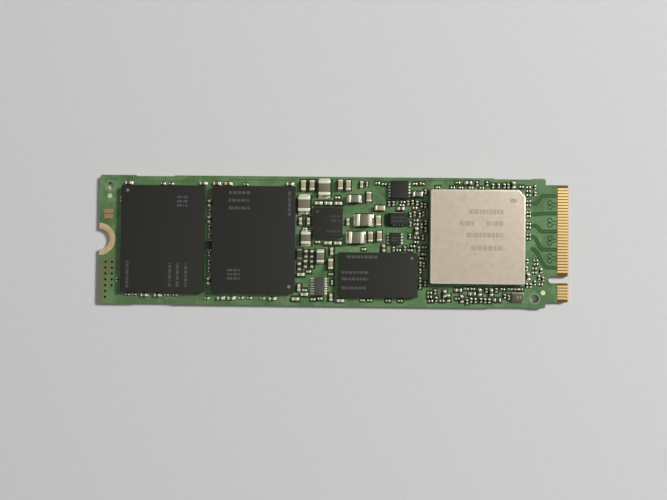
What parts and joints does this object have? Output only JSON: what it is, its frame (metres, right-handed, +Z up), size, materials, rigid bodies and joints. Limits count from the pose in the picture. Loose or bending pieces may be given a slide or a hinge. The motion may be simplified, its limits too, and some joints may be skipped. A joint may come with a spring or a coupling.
{
  "type": "plug-in solid-state drive",
  "caption": "Bare plug-in solid-state drive: narrow green board with flash packages, lidded controller, half-round screw notch and keyed gold edge contacts.",
  "frame": {"origin": "centre of the board's outline on its underside", "axes": "+X along the board towards the gold edge contacts, +Y across it away from the key notch, +Z up through the component side"},
  "size_m": [0.08, 0.022, 0.0022],
  "materials": {
    "green_mask": "glass laminate under semi-gloss green solder mask",
    "gold": "gold plating, satin",
    "copper": "bare copper, dull",
    "carrier": "thin laminate carrier, satin",
    "mould": "black moulding compound, fine matte grain",
    "silicon": "polished silicon",
    "paste": "grey thermal paste",
    "nickel": "warm satin nickel plating",
    "solder": "tinned metal, bright",
    "ceramic_white": "pale ceramic",
    "ferrite": "grey pressed ferrite",
    "ceramic_tan": "tan ceramic, satin",
    "resistor_black": "black overglaze"
  },
  "bodies": {
    "root": {"circuit_board": "green_mask", "notch_plating": "gold", "alignment_dots": "gold", "test_pads": "copper", "contacts_top": "gold", "contacts_underside": "gold", "left_memory_substrate": "carrier", "left_memory_mould": "mould", "right_memory_substrate": "carrier", "right_memory_mould": "mould", "buffer_memory_substrate": "carrier", "buffer_memory_mould": "mould", "controller_substrate": "carrier", "controller_die": "silicon", "controller_thermal_paste": "paste", "controller_lid": "nickel", "power_manager_lands": "solder", "power_manager_body": "mould", "logic_chip_lands": "solder", "logic_chip_body": "mould", "filter_chip_lands": "solder", "filter_chip_body": "mould", "upper_regulator_lands": "solder", "upper_regulator_body": "mould", "middle_regulator_lands": "solder", "middle_regulator_body": "mould", "lower_regulator_lands": "solder", "lower_regulator_body": "mould", "crystal_base": "ceramic_white", "crystal_lid": "nickel", "power_inductor_bodies": "ferrite", "power_inductor_ends": "solder", "small_inductor_bodies": "ferrite", "small_inductor_ends": "solder", "capacitor_0805_bodies": "ceramic_tan", "capacitor_0805_ends": "solder", "capacitor_0603_bodies": "ceramic_tan", "capacitor_0603_ends": "solder", "capacitor_0402_bodies": "ceramic_tan", "capacitor_0402_ends": "solder", "capacitor_0201_bodies": "ceramic_tan", "capacitor_0201_ends": "solder", "resistor_0603_bodies": "resistor_black", "resistor_0603_ends": "solder", "resistor_0402_bodies": "resistor_black", "resistor_0402_ends": "solder", "resistor_0201_bodies": "resistor_black", "resistor_0201_ends": "solder"}
  },
  "joints": []
}
